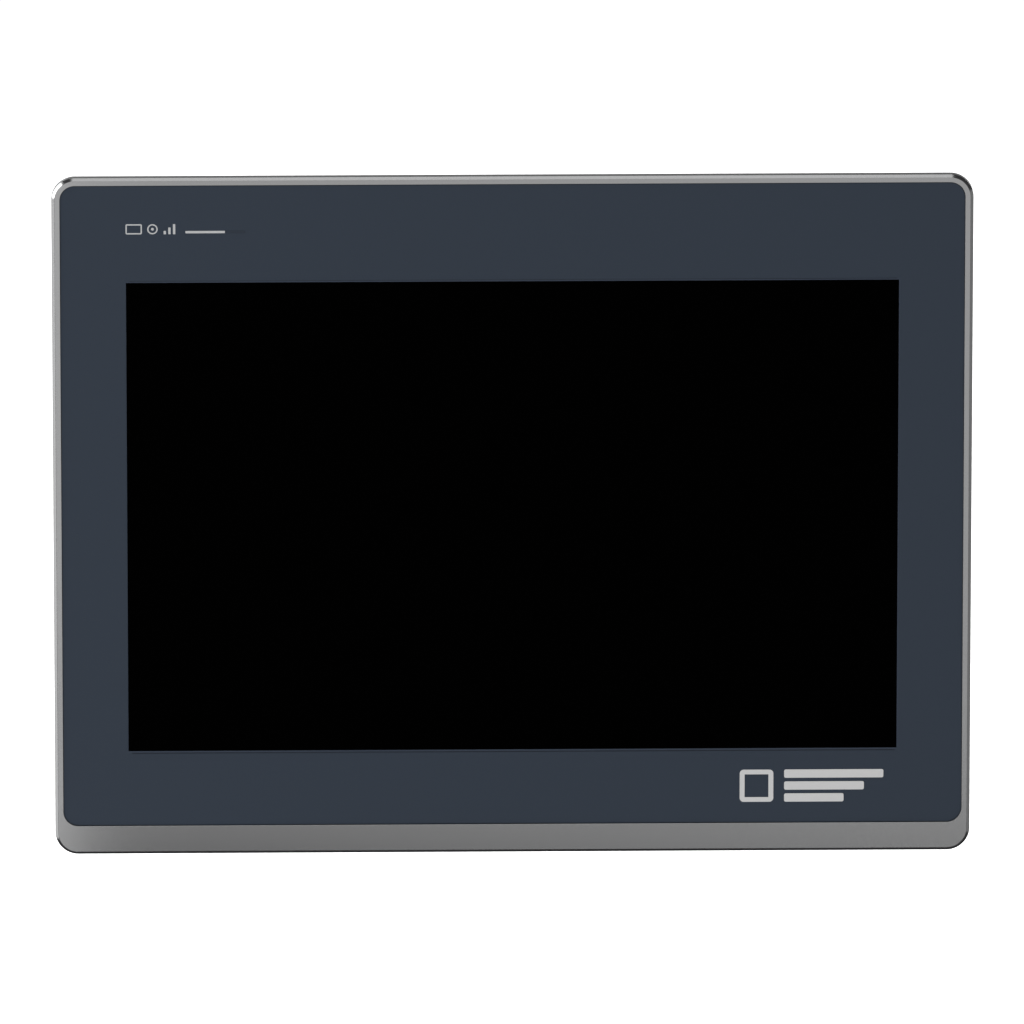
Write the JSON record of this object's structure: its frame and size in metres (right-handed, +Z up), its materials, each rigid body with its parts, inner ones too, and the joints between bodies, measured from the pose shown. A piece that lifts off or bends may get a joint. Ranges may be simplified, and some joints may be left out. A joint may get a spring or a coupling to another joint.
{
  "type": "hmi touch panel",
  "caption": "Wide flush-mounted operator panel with a touch screen in a silver frame, a stepped rear housing, downward connectors and side clamp fasteners.",
  "frame": {"origin": "centre of the panel cut-out, on the plane where the gasket meets the panel's front surface", "axes": "+X to the right as seen by the operator, +Z up, +Y into the cabinet; the screen faces -Y"},
  "size_m": [0.315, 0.056, 0.2416],
  "materials": {
    "bezel_silver": "satin metallic coat with a bright chamfer",
    "overlay_film": "fine matt printed film, slate blue",
    "touch_glass": "black behind clear film",
    "lcd_glass": "dark, unlit",
    "clear_plastic": "clear moulding",
    "foam": "matt closed-cell foam",
    "gasket_rubber": "matt moulded rubber",
    "sheet_steel": "zinc plated sheet",
    "white_film": "matt white film",
    "circuit_board": "green solder mask",
    "chip_black": "matt epoxy",
    "bare_aluminium": "plain extruded",
    "housing_plastic": "fine spark-eroded texture, dark grey",
    "black_plastic": "glass filled moulding",
    "terminal_green": "green moulding",
    "connector_metal": "nickel plated shell",
    "ribbon": "amber flexible circuit",
    "label_film": "blank silver-grey film",
    "screw_steel": "zinc plated screw"
  },
  "bodies": {
    "panel_unit": {"front_bezel": "bezel_silver", "front_overlay": "overlay_film", "touch_glass": "touch_glass", "touch_seal": "foam", "status_light_guide": "clear_plastic", "status_light_board": "circuit_board", "panel_gasket": "gasket_rubber", "lcd_seal": "foam", "lcd_frame": "sheet_steel", "lcd_cell": "lcd_glass", "diffuser_sheet": "white_film", "light_guide_plate": "clear_plastic", "backlight_strip": "white_film", "lcd_tray": "sheet_steel", "middle_frame": "housing_plastic", "chassis_plate": "sheet_steel", "main_board": "circuit_board", "processor": "chip_black", "heat_sink": "bare_aluminium", "memory_chip_1": "chip_black", "memory_chip_2": "chip_black", "power_inductor": "chip_black", "capacitor_1": "bare_aluminium", "capacitor_2": "bare_aluminium", "battery_holder": "black_plastic", "coin_cell": "sheet_steel", "card_socket": "connector_metal", "display_cable": "ribbon", "touch_cable": "ribbon", "power_inlet": "terminal_green", "usb_device_port": "connector_metal", "usb_host_port": "connector_metal", "ethernet_port_1": "connector_metal", "ethernet_port_2": "connector_metal", "serial_port": "connector_metal", "ground_screw": "screw_steel", "rear_cover": "housing_plastic", "rating_plate": "label_film", "cover_screw_1": "screw_steel", "cover_screw_2": "screw_steel", "cover_screw_3": "screw_steel", "cover_screw_4": "screw_steel"},
    "service_door": {"service_door": "housing_plastic"},
    "power_plug": {"power_plug": "terminal_green"},
    "terminal_screw_1": {"terminal_screw_1": "screw_steel"},
    "terminal_screw_2": {"terminal_screw_2": "screw_steel"},
    "terminal_screw_3": {"terminal_screw_3": "screw_steel"},
    "fastener_1": {"fastener_bracket_1": "black_plastic"},
    "clamp_foot_1": {"clamp_foot_1": "gasket_rubber"},
    "clamp_screw_1": {"clamp_screw_1": "screw_steel"},
    "fastener_2": {"fastener_bracket_2": "black_plastic"},
    "clamp_foot_2": {"clamp_foot_2": "gasket_rubber"},
    "clamp_screw_2": {"clamp_screw_2": "screw_steel"},
    "fastener_3": {"fastener_bracket_3": "black_plastic"},
    "clamp_foot_3": {"clamp_foot_3": "gasket_rubber"},
    "clamp_screw_3": {"clamp_screw_3": "screw_steel"},
    "fastener_4": {"fastener_bracket_4": "black_plastic"},
    "clamp_foot_4": {"clamp_foot_4": "gasket_rubber"},
    "clamp_screw_4": {"clamp_screw_4": "screw_steel"}
  },
  "joints": [
    {"name": "service_door_swing", "type": "hinge", "parent": "panel_unit", "child": "service_door", "pos_m": [-0.094, 0.049, 0.028], "axis": [-1, 0, 0], "range_deg": [0, 110]},
    {"name": "power_plug_pull", "type": "slide", "parent": "panel_unit", "child": "power_plug", "axis": [0, 0, -1], "range_m": [0, 0.01]},
    {"name": "terminal_screw_1_turn", "type": "hinge", "parent": "power_plug", "child": "terminal_screw_1", "pos_m": [-0.08508, 0.0383, -0.093], "axis": [0, -1, 0], "range_deg": [0, 1080]},
    {"name": "terminal_screw_2_turn", "type": "hinge", "parent": "power_plug", "child": "terminal_screw_2", "pos_m": [-0.08, 0.0383, -0.093], "axis": [0, -1, 0], "range_deg": [0, 1080]},
    {"name": "terminal_screw_3_turn", "type": "hinge", "parent": "power_plug", "child": "terminal_screw_3", "pos_m": [-0.07492, 0.0383, -0.093], "axis": [0, -1, 0], "range_deg": [0, 1080]},
    {"name": "fastener_1_pull", "type": "slide", "parent": "panel_unit", "child": "fastener_1", "axis": [-1, 0, 0], "range_m": [0, 0.0085]},
    {"name": "clamp_foot_1_advance", "type": "slide", "parent": "fastener_1", "child": "clamp_foot_1", "axis": [0, -1, 0], "range_m": [0, 0.0056]},
    {"name": "clamp_screw_1_turn", "type": "hinge", "parent": "clamp_foot_1", "child": "clamp_screw_1", "pos_m": [-0.1539, 0.033, 0.07], "axis": [0, -1, 0], "range_deg": [0, 2880]},
    {"name": "fastener_2_pull", "type": "slide", "parent": "panel_unit", "child": "fastener_2", "axis": [-1, 0, 0], "range_m": [0, 0.0085]},
    {"name": "clamp_foot_2_advance", "type": "slide", "parent": "fastener_2", "child": "clamp_foot_2", "axis": [0, -1, 0], "range_m": [0, 0.0056]},
    {"name": "clamp_screw_2_turn", "type": "hinge", "parent": "clamp_foot_2", "child": "clamp_screw_2", "pos_m": [-0.1539, 0.033, -0.07], "axis": [0, -1, 0], "range_deg": [0, 2880]},
    {"name": "fastener_3_pull", "type": "slide", "parent": "panel_unit", "child": "fastener_3", "axis": [1, 0, 0], "range_m": [0, 0.0085]},
    {"name": "clamp_foot_3_advance", "type": "slide", "parent": "fastener_3", "child": "clamp_foot_3", "axis": [0, -1, 0], "range_m": [0, 0.0056]},
    {"name": "clamp_screw_3_turn", "type": "hinge", "parent": "clamp_foot_3", "child": "clamp_screw_3", "pos_m": [0.1539, 0.033, 0.07], "axis": [0, -1, 0], "range_deg": [0, 2880]},
    {"name": "fastener_4_pull", "type": "slide", "parent": "panel_unit", "child": "fastener_4", "axis": [1, 0, 0], "range_m": [0, 0.0085]},
    {"name": "clamp_foot_4_advance", "type": "slide", "parent": "fastener_4", "child": "clamp_foot_4", "axis": [0, -1, 0], "range_m": [0, 0.0056]},
    {"name": "clamp_screw_4_turn", "type": "hinge", "parent": "clamp_foot_4", "child": "clamp_screw_4", "pos_m": [0.1539, 0.033, -0.07], "axis": [0, -1, 0], "range_deg": [0, 2880]}
  ],
  "couplings": [
    {"joint": "clamp_screw_1_turn", "follows": "clamp_foot_1_advance", "rad_per_m": 8976},
    {"joint": "clamp_screw_2_turn", "follows": "clamp_foot_2_advance", "rad_per_m": 8976},
    {"joint": "clamp_screw_3_turn", "follows": "clamp_foot_3_advance", "rad_per_m": 8976},
    {"joint": "clamp_screw_4_turn", "follows": "clamp_foot_4_advance", "rad_per_m": 8976}
  ]
}
